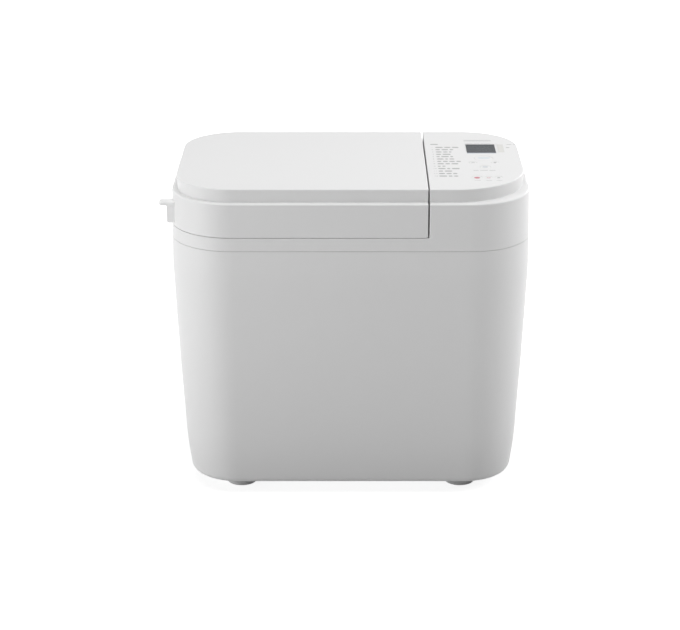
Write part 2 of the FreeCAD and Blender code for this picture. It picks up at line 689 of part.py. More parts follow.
def lid_screws():
    screws = []
    for x, y in lid_posts:
        head = rod(x, y, liner_z - lid_screw_head_t, liner_z, lid_screw_head_r)
        screws.append(head.fuse(rod(x, y, liner_z, liner_z + lid_screw_l, small_screw_r)))
    return group(screws)


def lid_grip():
    tip_x, wall_x, root_x = -half_x - grip_reach, -half_x - grip_wall, -half_x + grip_root
    shelf = box(tip_x, root_x, grip_y0, grip_y1, grip_top - grip_t, grip_top)
    tip = [e for e in shelf.Edges if flat_at(e, tip_x) and e.BoundBox.ZLength > TOUCH]
    shelf = shelf.makeFillet(grip_tip_r, tip)
    rim = [e for e in shelf.Edges if e.BoundBox.ZLength < TOUCH and e.BoundBox.XMax < root_x - TOUCH]
    shelf = shelf.makeFillet(grip_rim_r, rim)
    web = box(wall_x, root_x, grip_y0 + web_side, grip_y1 - web_side, grip_low, grip_top - grip_t + SINK)
    web = web.makeFillet(grip_heel_r, [e for e in web.Edges if flat_at(e, wall_x) and level_at(e, grip_low)])
    return fuse([shelf, web]).cut(outside)


# --- baking chamber ---

def chamber_wall():
    wall = plan_frame(oven_hx, oven_hy, oven_r, oven_low + oven_t, oven_top, oven_t, oven_x)
    flange = plan_frame(oven_hx + oven_flange, oven_hy + oven_flange, oven_r + oven_flange,
                        oven_top - oven_t, oven_top, oven_flange + oven_t, oven_x)
    wall = fuse([wall, flange])
    bush_hole_r = bush_r + wall_hole_gap
    wall = cut_all(wall, [rod_x(0, FAR, y, heater_z, bush_hole_r) for y in (-heater_gap, heater_gap)])
    return wall.cut(rod_x(0, FAR, sensor_y, sensor_z, sensor_r + wall_hole_gap))


def chamber_floor():
    floor = plan_prism(oven_hx, oven_hy, oven_r, oven_low, oven_low + oven_t, oven_x)
    return floor.cut(rod(oven_x, 0, 0, FAR, drain_r))


def pan_seat():
    bore = skirt_r + seat_gap
    seat = tube(oven_x, 0, oven_low + oven_t, seat_top, bore + seat_t, bore)
    flange_r = skirt_r + seat_flange
    flange = tube(oven_x, 0, oven_low + oven_t, oven_low + oven_t + seat_flange_t, flange_r, bore)
    return fuse([seat, flange])


def heating_element():
    """One bent tube round the chamber, with both ends through its right wall."""
    qx, qy = heater_hx - heater_r, heater_hy - heater_r
    x1 = oven_x + heater_hx
    end_x = oven_wall_x + heater_end
    turns = [level_turn(V(x1 + heater_bend, -heater_gap - heater_bend, heater_z), heater_bend, 90, 180)]
    for sx, sy, first in ((1, -1, 0), (-1, -1, -90), (-1, 1, -180), (1, 1, -270)):
        centre = V(oven_x + sx * qx, sy * qy, heater_z)
        turns.append(level_turn(centre, heater_r, first, first - 90))
    turns.append(level_turn(V(x1 + heater_bend, heater_gap + heater_bend, heater_z), heater_bend, 180, 270))
    edges = [line(V(end_x, -heater_gap, heater_z), turns[0].Vertexes[0].Point), turns[0]]
    for turn in turns[1:]:
        edges += [line(edges[-1].Vertexes[-1].Point, turn.Vertexes[0].Point), turn]
    edges.append(line(edges[-1].Vertexes[-1].Point, V(end_x, heater_gap, heater_z)))
    section = Part.Wire(Part.makeCircle(heater_tube_r, V(end_x, -heater_gap, heater_z), V(1, 0, 0)))
    return Part.Wire(edges).makePipeShell([section], True, False)


def heater_clip(x, side):
    y = side * heater_hy
    near, far = sorted((side * (heater_hy - clip_in), side * (oven_hy - oven_t)))
    clip = box(x - clip_half, x + clip_half, near, far, heater_z - clip_low, heater_z + clip_high)
    groove = rod_x(-FAR, FAR, y, heater_z, heater_tube_r)
    way_in = box(-FAR, FAR, y - heater_tube_r, y + heater_tube_r, heater_z, FAR)
    return cut_all(clip, [groove, way_in])


def heater_clips():
    return group([heater_clip(oven_x + x, side) for x in (-clip_x, clip_x) for side in (-1, 1)])


def heater_terminals():
    bushes = []
    for y in (-heater_gap, heater_gap):
        bush = rod_x(oven_wall_x - bush_in, oven_wall_x + bush_out, y, heater_z, bush_r)
        flange = rod_x(oven_wall_x, oven_wall_x + bush_flange_t, y, heater_z, bush_flange_r)
        bushes.append(fuse([bush, flange]).cut(rod_x(0, FAR, y, heater_z, heater_tube_r)))
    return group(bushes)


def temperature_sensor():
    probe = rod_x(oven_wall_x - sensor_in, oven_wall_x + sensor_out, sensor_y, sensor_z, sensor_r)
    flange = rod_x(oven_wall_x, oven_wall_x + sensor_flange_t, sensor_y, sensor_z, sensor_flange_r)
    return fuse([probe, flange])


def thermal_fuse():
    return box(oven_wall_x, oven_wall_x + fuse_t, *fuse_outline)


def heat_shield():
    sheet = box(shield_x, shield_x + shield_t, -shield_y, shield_y, chassis_top, shield_top)
    foot = box(shield_x, shield_foot_x, -shield_foot_y, shield_foot_y, chassis_top, chassis_top + shield_t)
    shield = fuse([sheet, foot])
    return cut_all(shield, [rod_x(0, FAR, y, heater_z, shield_hole_r) for y in (-heater_gap, heater_gap)])


# --- drive ---

def chassis():
    plate = box(chassis_x0, chassis_x1, -chassis_y, chassis_y, chassis_z, chassis_top)
    plate = cut_all(plate, [rod(oven_x, 0, 0, FAR, housing_r + wall_hole_gap),
                            rod(motor_x, 0, 0, FAR, motor_hole_r)])
    legs = [rod(x, y, base_top, chassis_z, leg_r) for x, y in leg_places()]
    bores = [rod(x, y, 0, leg_bore_top, screw_r) for x, y in leg_places()]
    studs = [rod(oven_x + sx * stud_x, sy * stud_y, chassis_top, oven_low, stud_r)
             for sx in (-1, 1) for sy in (-1, 1)]
    return cut_all(fuse([plate] + legs + studs), bores)


def bearing_housing():
    sleeve = rod(oven_x, 0, housing_low, oven_low, housing_r)
    flange = rod(oven_x, 0, chassis_top, chassis_top + housing_flange_t, housing_flange_r)
    return fuse([sleeve, flange]).cut(rod(oven_x, 0, 0, FAR, bush_bore))


def drive_bushes():
    return group([tube(oven_x, 0, z0, z1, bush_bore, shaft_r + run_gap) for z0, z1 in bush_levels])


def drive_shaft():
    return rod(oven_x, 0, drive_shaft_low, drive_shaft_top, shaft_r)


def pulley(x, r, bore):
    wheel = rod(x, 0, belt_z0 - groove_gap - flange_t, belt_z1 + groove_gap + flange_t, r + flange_rise)
    groove = tube(x, 0, belt_z0 - groove_gap, belt_z1 + groove_gap, r + flange_rise + PAST, r)
    return wheel.cut(groove).cut(rod(x, 0, 0, FAR, bore))


def driven_pulley():
    wheel = pulley(oven_x, big_pulley_r, shaft_r)
    for turn in range(spoke_holes):
        hole = rod(oven_x + spoke_hole_x, 0, 0, FAR, spoke_hole_r)
        hole.rotate(V(oven_x, 0, 0), V(0, 0, 1), 360.0 / spoke_holes * turn)
        wheel = wheel.cut(hole)
    return wheel


def motor_pulley():
    return pulley(motor_x, small_pulley_r, motor_shaft_r)


def drive_coupling():
    hub = rod(oven_x, 0, fork_hub_low, fork_top, fork_hub_r)
    arms = box(oven_x - fork_half, oven_x + fork_half, -fork_w, fork_w, fork_low, fork_top)
    return fuse([hub, arms]).cut(rod(oven_x, 0, 0, drive_shaft_top, shaft_r))


def belt_face(r1, r2, span):
    """Closed outline round two wheels a span apart along X."""
    lean = math.degrees(math.asin((r1 - r2) / span))
    around_small = level_turn(V(span, 0, 0), r2, 90 - lean, lean - 90)
    around_big = level_turn(V(0, 0, 0), r1, lean - 90, -270 - lean)
    edges = [around_small, line(around_small.Vertexes[-1].Point, around_big.Vertexes[0].Point), around_big,
             line(around_big.Vertexes[-1].Point, around_small.Vertexes[0].Point)]
    return Part.Face(Part.Wire(edges))


def drive_belt():
    span = motor_x - oven_x
    inner = belt_face(big_pulley_r + belt_gap, small_pulley_r + belt_gap, span)
    outer = belt_face(big_pulley_r + belt_gap + belt_t, small_pulley_r + belt_gap + belt_t, span)
    belt = outer.cut(inner).extrude(V(0, 0, belt_z1 - belt_z0))
    belt.translate(V(oven_x, 0, belt_z0))
    return belt


# --- motor ---

def tie_places():
    return [(motor_x + sx * tie_offset, sy * tie_offset) for sx in (-1, 1) for sy in (-1, 1)]


def motor_frame():
    x0, x1 = motor_x - motor_half, motor_x + motor_half
    low_top = chassis_top + motor_plate_t
    low = box(x0, x1, -motor_half, motor_half, chassis_top, low_top)
    high = box(x0, x1, -motor_half, motor_half, motor_top_z, motor_top_z + motor_plate_t)
    cups = [rod(motor_x, 0, low_top, low_top + cup_h, cup_r),
            rod(motor_x, 0, motor_top_z - cup_h, motor_top_z, cup_r)]
    ties = [rod(x, y, chassis_top, motor_top_z + SINK, tie_r) for x, y in tie_places()]
    return fuse([low, high] + cups + ties).cut(rod(motor_x, 0, 0, FAR, motor_shaft_r + run_gap))


def motor_stator():
    stack = box(motor_x - motor_half, motor_x + motor_half, -motor_half, motor_half, stack_low, stack_top)
    stack = stack.cut(rod(motor_x, 0, 0, FAR, stack_bore))
    return cut_all(stack, [rod(x, y, 0, FAR, tie_r) for x, y in tie_places()])


def motor_coils():
    return group([tube(motor_x, 0, z0, z1, coil_r, coil_bore) for z0, z1 in (coil_low, coil_high)])


def motor_rotor():
    return tube(motor_x, 0, rotor_low, rotor_top, rotor_r, motor_shaft_r)


def motor_shaft():
    return rod(motor_x, 0, motor_shaft_low, motor_shaft_top, motor_shaft_r)


def motor_fan():
    disc = rod(motor_x, 0, fan_z, fan_z + fan_disc_t, fan_r)
    fan = disc.fuse(rod(motor_x, 0, fan_z, fan_z + fan_hub_h, fan_hub_r))
    root_x, half = motor_x + fan_hub_r - fan_blade_root, fan_blade_half
    for turn in range(fan_blades):
        blade = box(root_x, motor_x + fan_r, -half, half, fan_z + fan_disc_t / 2, fan_blade_top)
        blade.rotate(V(motor_x, 0, 0), V(0, 0, 1), 360.0 / fan_blades * turn)
        fan = fan.fuse(blade)
    return fan.cut(rod(motor_x, 0, 0, FAR, motor_shaft_r))


def motor_capacitor():
    can = box(*capacitor, chassis_top, capacitor_top)
    return can.makeFillet(capacitor_r, [e for e in can.Edges if e.BoundBox.ZLength > TOUCH])


# --- pan ---

def pan_level(inset, z):
    return plan_wire(pan_hx - inset, pan_hy - inset, pan_r - inset * pan_corner_draft, z, oven_x)


def pan_hull(t, z0, z1):
    """Drafted block of the pan's outside, moved in by t."""
    return Part.makeLoft([pan_level(pan_draft + t, z0), pan_level(t, z1)], True, True)


def bread_pan():
    bowl = pan_hull(0.0, pan_low, pan_top)
    bowl = bowl.makeFillet(pan_foot_r, [e for e in bowl.Edges if level_at(e, pan_low)])
    room = pan_hull(pan_t, pan_low + pan_t, pan_top)
    room = room.makeFillet(pan_foot_r - pan_t, [e for e in room.Edges if level_at(e, pan_low + pan_t)])
    rim = plan_prism(pan_hx + rim_out, pan_hy + rim_out, pan_r + rim_out, pan_top - rim_h, pan_top, oven_x)
    rim = rim.makeFillet(rim_edge_r, [e for e in rim.Edges if e.BoundBox.ZLength < TOUCH])
    rim = rim.cut(plan_prism(pan_hx - pan_t, pan_hy - pan_t, pan_r - pan_t, 0, FAR, oven_x))
    return fuse([bowl.cut(room), rim]).cut(rod(oven_x, 0, 0, pan_low + pan_foot_r, pan_hole_r))


def pan_base():
    skirt = tube(oven_x, 0, oven_low + oven_t + skirt_gap, pan_low, skirt_r, skirt_r - skirt_t)
    return fuse([skirt, tube(oven_x, 0, pan_low - skirt_t, pan_low, skirt_r, drain_r)])


def pan_bushing():
    floor_top = pan_low + pan_t
    bore = shaft_r + run_gap
    sleeve = tube(oven_x, 0, sleeve_low, sleeve_top, pan_hole_r, bore)
    above = tube(oven_x, 0, floor_top, floor_top + sleeve_flange_t, sleeve_flange_r, bore)
    below = tube(oven_x, 0, sleeve_nut_low, pan_low, sleeve_nut_r, bore)
    return fuse([sleeve, above, below])


def pan_ear(side):
    """Riveted plate with a headed pin, on the rear side and turned to the front for side -1."""
    face, tip = pan_hy + ear_t, pan_hy + ear_reach
    plate = box(-ear_half, ear_half, pan_hy - ear_root, face, ear_z - ear_drop, pan_top - rim_h - ear_root)
    pin = rod_y(0, pan_hy, tip, ear_z, ear_pin_r)
    head = rod_y(0, tip - ear_head_t, tip, ear_z, ear_head_r)
    ear = fuse([plate, pin, head])
    if side < 0:
        ear.rotate(V(0, 0, 0), V(0, 0, 1), 180)
    ear.translate(V(oven_x, 0, 0))
    return ear.cut(pan_hull(0.0, pan_low, pan_top))


def pan_ears():
    return group([pan_ear(side) for side in (-1, 1)])


def folded(shape):
    shape.rotate(V(oven_x, 0, ear_z), V(0, 1, 0), -bail_fold)
    return shape


def pan_handle():
    """Bent wire with an eye round each ear pin, drawn upright and folded down."""
    foot_z = ear_z + eye_r - eye_root
    turn_z = bail_top - bail_bend
    first = front_turn(V(oven_x, bail_bend - arm_y, turn_z), bail_bend, 180, 90)
    second = front_turn(V(oven_x, arm_y - bail_bend, turn_z), bail_bend, 90, 0)
    path = Part.Wire([line(V(oven_x, -arm_y, foot_z), first.Vertexes[0].Point), first,
                      line(first.Vertexes[-1].Point, second.Vertexes[0].Point), second,
                      line(second.Vertexes[-1].Point, V(oven_x, arm_y, foot_z))])
    section = Part.Wire(Part.makeCircle(bail_r, V(oven_x, -arm_y, foot_z), V(0, 0, 1)))
    wire = path.makePipeShell([section], True, False)
    eyes = []
    for y in (-arm_y, arm_y):
        eye = rod_y(oven_x, y - eye_half, y + eye_half, ear_z, eye_r)
        eyes.append(eye.cut(rod_y(oven_x, y - FAR, y + FAR, ear_z, ear_pin_r + bail_gap)))
    return folded(fuse([wire] + eyes))


def handle_grip():
    grip = rod_y(oven_x, -grip_half, grip_half, bail_top, grip_tube_r)
    grip = grip.makeFillet(grip_end_r, [e for e in grip.Edges if e.BoundBox.YLength < TOUCH])
    return folded(grip.cut(rod_y(oven_x, -FAR, FAR, bail_top, bail_r)))


def pan_shaft():
    return rod(oven_x, 0, dog_low, pan_shaft_top, shaft_r)


def pan_coupling():
    dog = tube(oven_x, 0, dog_low, dog_top, dog_r, shaft_r)
    pegs = [box(oven_x - peg_x, oven_x + peg_x, y - peg_half, y + peg_half, peg_low, dog_low + SINK)
            for y in (-peg_y, peg_y)]
    return fuse([dog] + pegs)


def kneading_paddle():
    hub = rod(oven_x, 0, paddle_z, paddle_top, hub_r)
    hub = hub.makeFillet(hub_edge_r, [e for e in hub.Edges if level_at(e, paddle_top)])
    corners = [V(oven_x + x, -blade_half_t, z) for x, z in blade_outline]
    blade = Part.Face(Part.makePolygon(corners + corners[:1])).extrude(V(0, 2 * blade_half_t, 0))
    tip = [e for e in blade.Edges if e.BoundBox.YLength > TOUCH and e.BoundBox.XMin > oven_x + hub_r]
    tip = [e for e in tip if e.BoundBox.XLength < TOUCH and e.BoundBox.ZLength < TOUCH]
    paddle = fuse([hub, blade.makeFillet(blade_corner_r, tip)])
    return cut_all(paddle, [rod(oven_x, 0, 0, pan_shaft_top, shaft_r),
                            rod(oven_x, 0, 0, paddle_z, paddle_room_r)])


SUB_PARTS = (
    body_shell, base_plate, rubber_feet, base_screws, cord_gland,
    top_deck, hinge_pins, lcd_window, lcd_module, key_switches, control_board, board_screws,
    power_board, power_parts,
    lid_cover, lid_liner, lid_gasket, lid_insulation, lid_screws, lid_grip,
    chamber_wall, chamber_floor, pan_seat, heating_element, heater_clips, heater_terminals,
    temperature_sensor, thermal_fuse, heat_shield,
    chassis, bearing_housing, drive_bushes, drive_shaft, driven_pulley, motor_pulley, drive_coupling,
    drive_belt,
    motor_frame, motor_stator, motor_coils, motor_rotor, motor_shaft, motor_fan, motor_capacitor,
    bread_pan, pan_base, pan_bushing, pan_ears, pan_handle, handle_grip, pan_shaft, pan_coupling,
    kneading_paddle,
)

for make in SUB_PARTS:
    save(make.__name__, make())
for name, (x, y, r) in keys.items():
    save(name, key_cap(x, y, r))
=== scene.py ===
import json
import math
import bmesh
import bpy
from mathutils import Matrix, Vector


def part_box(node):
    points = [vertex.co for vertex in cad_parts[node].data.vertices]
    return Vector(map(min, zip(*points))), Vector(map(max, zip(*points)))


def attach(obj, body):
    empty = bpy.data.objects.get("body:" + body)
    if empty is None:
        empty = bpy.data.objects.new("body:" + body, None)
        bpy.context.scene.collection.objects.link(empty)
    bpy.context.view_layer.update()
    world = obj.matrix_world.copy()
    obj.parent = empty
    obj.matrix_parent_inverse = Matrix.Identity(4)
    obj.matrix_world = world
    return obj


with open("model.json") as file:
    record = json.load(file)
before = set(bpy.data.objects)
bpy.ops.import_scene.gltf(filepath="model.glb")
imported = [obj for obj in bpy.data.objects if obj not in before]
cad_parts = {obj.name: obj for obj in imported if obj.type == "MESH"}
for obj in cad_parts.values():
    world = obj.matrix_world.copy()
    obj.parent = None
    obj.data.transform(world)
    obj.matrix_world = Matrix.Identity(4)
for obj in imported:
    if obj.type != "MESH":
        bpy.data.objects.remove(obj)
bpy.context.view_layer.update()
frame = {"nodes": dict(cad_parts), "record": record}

MM = 0.001

# Camera: where it looks, how far off it stands and how long its lens is.
AIM_X = 6 * MM
AIM_HEIGHT = 0.175
CAMERA_DISTANCE = 2.345
CAMERA_LIFT = math.radians(20.15)
LENS = 107.2
SENSOR_WIDTH = 36.0
SHIFT_RIGHT = -0.0158

# Studio light. Each softbox has a place, a width, a height and a power.
AMBIENT = 0.22
SOFTBOXES = {
    "top_box": ((-0.1, -0.2, 2.0), 1.4, 0.8, 15.2),
    "left_box": ((-1.75, -0.9, 0.5), 1.0, 0.9, 17.0),
    "right_box": ((1.7, -0.1, 1.2), 0.9, 0.9, 15.6),
    "back_left_box": ((-1.2, 1.8, 0.9), 1.0, 1.0, 2.5),
    "back_right_box": ((1.3, 1.8, 0.9), 1.0, 1.0, 11.5),
}
SOFTBOX_AIM = (0.0, 0.0, 0.2)

# Floor: its tone and its glow, each close to the machine and away from it,
# and the distances between which they change; the darker tone close to the machine is painted shade.
FLOOR_REACH = 6.0
FLOOR_TONES_WITH_PAINTED_SHADE = (0.38, 0.8)
FLOOR_PAINTED_SHADE_SPAN = (0.2, 0.6)
FLOOR_GLOWS = (0.82, 1.0)
FLOOR_GLOW_SPAN = (0.3, 1.1)


# --- materials ---

class Value:
    """A shader value; arithmetic on it adds the nodes that work it out."""

    def __init__(self, nodes, socket):
        self.nodes = nodes
        self.socket = socket

    def work(self, operation, first, second):
        return self.nodes.add("ShaderNodeMath", {"operation": operation}, {0: first, 1: second})

    def __add__(self, other):
        return self.work("ADD", self, other)

    def __sub__(self, other):
        return self.work("SUBTRACT", self, other)

    def __rsub__(self, other):
        return self.work("SUBTRACT", other, self)

    def __mul__(self, other):
        return self.work("MULTIPLY", self, other)

    def __truediv__(self, other):
        return self.work("DIVIDE", self, other)

    def __gt__(self, other):
        return self.work("GREATER_THAN", self, other)

    def __lt__(self, other):
        return self.work("LESS_THAN", self, other)

    def __or__(self, other):
        return self.work("MAXIMUM", self, other)

    def __and__(self, other):
        return self.work("MINIMUM", self, other)

    __radd__ = __add__
    __rmul__ = __mul__


class Nodes:
    """A node tree that is filled through one method."""

    def __init__(self, tree):
        self.tree = tree

    def join(self, socket, value):
        if isinstance(value, Value):
            self.tree.links.new(value.socket, socket)
        else:
            socket.default_value = value

    def add(self, kind, settings=None, inputs=None, output=0):
        node = self.tree.nodes.new(kind)
        for name, value in (settings or {}).items():
            setattr(node, name, value)
        for name, value in (inputs or {}).items():
            self.join(node.inputs[name], value)
        return Value(self, node.outputs[output]) if node.outputs else None

    def seen_plainly(self):
        """1 for what the camera, a mirror or glass shows, 0 for what only lights things."""
        camera = self.add("ShaderNodeLightPath", output="Is Camera Ray")
        mirror = self.add("ShaderNodeLightPath", output="Is Glossy Ray")
        glass = self.add("ShaderNodeLightPath", output="Is Transmission Ray")
        return camera | mirror | glass


class Finish(Nodes):
    """One material, with its shader's nodes."""

    def __init__(self, name, **sockets):
        self.material = bpy.data.materials.new(name)
        self.material.use_nodes = True
        super().__init__(self.material.node_tree)
        self.shader = self.tree.nodes["Principled BSDF"]
        self.set(**sockets)

    def set(self, **sockets):
        for name, value in sockets.items():
            self.join(self.shader.inputs[name.replace("_", " ")], value)

    def place(self):
        return self.add("ShaderNodeTexCoord", output="Object")

    def axis(self, name):
        return self.add("ShaderNodeSeparateXYZ", inputs={0: self.place()}, output=name)

    def noise(self, scale, detail=3.0, stretch=None):
        where = self.place()
        if stretch:
            where = self.add("ShaderNodeMapping", inputs={"Vector": where, "Scale": stretch})
        return self.add("ShaderNodeTexNoise", inputs={"Vector": where, "Scale": scale, "Detail": detail})

    def cells(self, scale, output="Distance"):
        return self.add("ShaderNodeTexVoronoi",
                        inputs={"Vector": self.place(), "Scale": scale}, output=output)

    def repeat(self, distance, pitch):
        """Rises from 0 to 1 over every pitch of a distance."""
        return self.add("ShaderNodeMath", {"operation": "FRACT"}, {0: distance / pitch})

    def ramp(self, value, low, high):
        """0 below low, 1 above high, smooth between."""
        return self.add("ShaderNodeMapRange", {"interpolation_type": "SMOOTHSTEP"},
                        {"Value": value, "From Min": low, "From Max": high})

    def blend(self, factor, first, second):
        return self.add("ShaderNodeMix", {"data_type": "RGBA"},
                        {"Factor": factor, "A": first, "B": second}, output="Result")

    def shaded(self, pattern, colour, share):
        """The colour where the pattern is 1, and only a share of it where the pattern is 0."""
        return self.blend(pattern, darker(colour, share), colour)

    def uneven(self, middle, pattern, spread):
        """A value that a pattern moves by up to half the spread to either side."""
        return middle + spread * (pattern - 0.5)

    def bump(self, height, depth):
        return self.add("ShaderNodeBump",
                        inputs={"Height": height, "Distance": depth, "Strength": 1.0})


def grey(level):
    return (level, level, level, 1.0)


def darker(colour, share):
    return tuple(c * share for c in colour[:3]) + (1.0,)


def moulded(name, colour, roughness=0.45, grain=0.02 * MM):
    """Fine-grained moulded plastic with a slight unevenness of shade and gloss."""
    finish = Finish(name, IOR=1.46)
    cloud = finish.noise(scale=9.0, detail=4.0)
    finish.set(Base_Color=finish.shaded(cloud, colour, share=0.985))
    finish.set(Roughness=finish.uneven(roughness, cloud, spread=0.06))
    finish.set(Normal=finish.bump(finish.noise(scale=2600.0, detail=2.0), depth=grain))
    return finish.material


def rolled(name, colour, roughness):
    """Drawn, turned or rolled metal with fine streaks."""
    finish = Finish(name, Metallic=1.0)
    streak = finish.noise(scale=60.0, detail=4.0, stretch=(1.0, 1.0, 60.0))
    finish.set(Base_Color=finish.shaded(streak, colour, share=0.86))
    finish.set(Roughness=finish.uneven(roughness, streak, spread=0.2))
    return finish.material


def spangled(name, colour):
    """Aluminised sheet: soft crystal flakes under a thin baked film."""
    finish = Finish(name, Metallic=0.85)
    flake = finish.cells(scale=140.0, output="Color")
    grain = finish.noise(scale=700.0)
    finish.set(Base_Color=finish.shaded(flake, colour, share=0.9))
    finish.set(Roughness=finish.uneven(0.42, grain, spread=0.12) + 0.06 * flake)
    finish.set(Normal=finish.bump(grain, depth=0.02 * MM))
    return finish.material


def non_stick(name, colour):
    """Dark non-stick coat with fine pale fleck and an orange-peel surface."""
    finish = Finish(name, IOR=1.5)
    fleck = (finish.cells(scale=1500.0) < 0.16) & (finish.noise(scale=420.0, detail=2.0) > 0.47)
    cloud = finish.noise(scale=30.0, detail=4.0)
    coat = finish.shaded(cloud, colour, share=0.85)
    finish.set(Base_Color=finish.blend(fleck, coat, grey(0.34)))
    finish.set(Roughness=finish.uneven(0.34, cloud, spread=0.1) + 0.15 * fleck)
    finish.set(Metallic=0.25 * fleck)
    finish.set(Normal=finish.bump(finish.noise(scale=900.0, detail=2.0), depth=0.05 * MM))
    return finish.material


def cast(name, colour, roughness=0.45):
    """Die-cast metal with a fine sandy skin."""
    finish = Finish(name, Metallic=1.0)
    sand = finish.noise(scale=1400.0)
    cloud = finish.noise(scale=40.0)
    finish.set(Base_Color=finish.shaded(cloud, colour, share=0.85))
    finish.set(Roughness=finish.uneven(roughness, sand, spread=0.15))
    finish.set(Normal=finish.bump(sand, depth=0.06 * MM))
    return finish.material


def stacked(name, colour, pitch):
    """Stacked laminations or wound wire: fine level lines along Z."""
    finish = Finish(name, Metallic=1.0)
    phase = finish.repeat(finish.axis("Z"), pitch)
    ridge = finish.ramp(phase, 0.0, 0.3) - finish.ramp(phase, 0.7, 1.0)
    finish.set(Base_Color=finish.shaded(ridge, colour, share=0.45))
    finish.set(Roughness=0.55 - 0.2 * ridge)
    finish.set(Normal=finish.bump(ridge, depth=pitch / 3))
    return finish.material


def oxidised(name, dark, brown):
    """Heater sheath: dark mottled oxide with a brown bloom."""
    finish = Finish(name, Metallic=0.9)
    bloom = finish.noise(scale=45.0, detail=5.0)
    fine = finish.noise(scale=900.0)
    finish.set(Base_Color=finish.blend(bloom, dark, brown))
    finish.set(Roughness=finish.uneven(0.42, fine, spread=0.25))
    finish.set(Normal=finish.bump(fine, depth=0.03 * MM))
    return finish.material


def felted(name, colour):
    """Mineral wool pad: matted fibres."""
    finish = Finish(name, Roughness=1.0, Sheen_Weight=0.3)
    fibre = finish.noise(scale=260.0, detail=5.0, stretch=(1.0, 3.5, 1.0))
    cross = finish.noise(scale=300.0, detail=5.0, stretch=(3.5, 1.0, 1.0))
    mat = fibre * cross * 2.0
    finish.set(Base_Color=finish.shaded(mat, colour, share=0.75))
    finish.set(Normal=finish.bump(mat, depth=0.8 * MM))
    return finish.material


def circuit(name, mask, copper):
    """Solder-masked board with faint tracks."""
    finish = Finish(name, Roughness=0.35, IOR=1.5)
    phase = finish.repeat(finish.axis("Y"), pitch=2.54 * MM)
    island = finish.noise(scale=55.0, detail=0.0) > 0.5
    track = (phase < 0.38) & island
    finish.set(Base_Color=finish.blend(track, mask, copper))
    finish.set(Normal=finish.bump(track, depth=0.03 * MM))
    return finish.material


def tinted_glass(name, deep, thin):
    """Smoked display window: mostly dark, with the display faint below it."""
    finish = Finish(name, IOR=1.32, Specular_IOR_Level=0.4, Roughness=0.08, Alpha=0.62)
    haze = finish.noise(scale=14.0, detail=2.0)
    finish.set(Base_Color=finish.blend(haze, deep, thin))
    return finish.material


def printed(name, colour):
    """Printing ink, slightly uneven in cover."""
    finish = Finish(name, IOR=1.45, Roughness=0.5)
    cover = finish.noise(scale=1800.0, detail=2.0)
    finish.set(Base_Color=finish.shaded(cover, colour, share=0.93))
    return finish.material


FINISHES = {
    "housing_white": moulded("housing_white", grey(0.80)),
    # grip_white is a paler copy of the housing white: painted light on the lid's grip
    "grip_white": moulded("grip_white", grey(0.92)),
    "key_white": moulded("key_white", grey(0.81), 0.4),
    "display_grey": moulded("display_grey", (0.12, 0.14, 0.16, 1.0), 0.4),
    "soft_rubber": moulded("soft_rubber", grey(0.62), 0.75),
    "silicone": moulded("silicone", (0.6, 0.6, 0.58, 1.0), 0.6),
    "plated_steel": rolled("plated_steel", (0.70, 0.71, 0.72, 1.0), 0.34),
    "coated_steel": spangled("coated_steel", (0.50, 0.51, 0.52, 1.0)),
    "stainless": rolled("stainless", (0.76, 0.75, 0.73, 1.0), 0.24),
    "heater_steel": oxidised("heater_steel", (0.09, 0.08, 0.08, 1.0), (0.22, 0.17, 0.13, 1.0)),
    "pan_coating": non_stick("pan_coating", (0.035, 0.036, 0.038, 1.0)),
    "cast_alloy": cast("cast_alloy", grey(0.58)),
    "lamination": stacked("lamination", grey(0.36), 0.6 * MM),
    "copper_wire": stacked("copper_wire", (0.62, 0.25, 0.10, 1.0), 0.7 * MM),
    "bearing_bronze": cast("bearing_bronze", (0.55, 0.38, 0.18, 1.0), 0.38),
    "ceramic": moulded("ceramic", (0.86, 0.84, 0.78, 1.0), 0.22, 0.005 * MM),
    "board_green": circuit("board_green", (0.015, 0.11, 0.05, 1.0), (0.04, 0.24, 0.1, 1.0)),
    "dark_part": moulded("dark_part", grey(0.03), 0.5),
    "belt_rubber": moulded("belt_rubber", grey(0.02), 0.7),
    "insulation": felted("insulation", (0.78, 0.74, 0.64, 1.0)),
    "nylon": moulded("nylon", (0.8, 0.78, 0.7, 1.0), 0.42),
    "display_glass": tinted_glass("display_glass", (0.018, 0.028, 0.038, 1.0), (0.024, 0.036, 0.048, 1.0)),
}
INKS = {
    "print_grey": printed("print_grey", grey(0.30)),
    "print_soft": printed("print_soft", grey(0.42)),
    "print_dark": printed("print_dark", grey(0.14)),
    "print_pale": printed("print_pale", (0.73, 0.725, 0.70, 1.0)),
    "print_white": printed("print_white", grey(0.80)),
    "print_red": printed("print_red", (0.56, 0.20, 0.24, 1.0)),
    "print_pink": printed("print_pink", (0.66, 0.46, 0.49, 1.0)),
    "print_blue": printed("print_blue", (0.72, 0.765, 0.79, 1.0)),
    "print_slate": printed("print_slate", (0.42, 0.46, 0.53, 1.0)),
    "segment_dark": printed("segment_dark", (0.02, 0.025, 0.03, 1.0)),
    "segment_faint": printed("segment_faint", (0.13, 0.16, 0.18, 1.0)),
    "display_face": printed("display_face", (0.105, 0.165, 0.215, 1.0)),
}

FINISH_OF = {part["node"]: part["material_slot"] for part in frame["record"]["subparts"]}
FINISH_OF["lid_grip"] = "grip_white"     # paler than the finish its slot names: painted light on the grip

for name, node in frame["nodes"].items():
    node.data.materials.clear()
    node.data.materials.append(FINISHES[FINISH_OF[name]])
    for face in node.data.polygons:
        face.material_index = 0


# --- printed marks: plan places and sizes are in millimetres, levels in metres ---

PRINT_SINK = 0.01 * MM
PRINT_RISE = 0.03 * MM
WELD = 0.0005 * MM
BAR_END_STEPS = 6
OVAL_STEPS = 40
RING_STEPS = 48
WORD_GAP = 1.3


def patch(left, front, right, back):
    """Outline of a square-cornered patch."""
    return [(left, front), (right, front), (right, back), (left, back)]


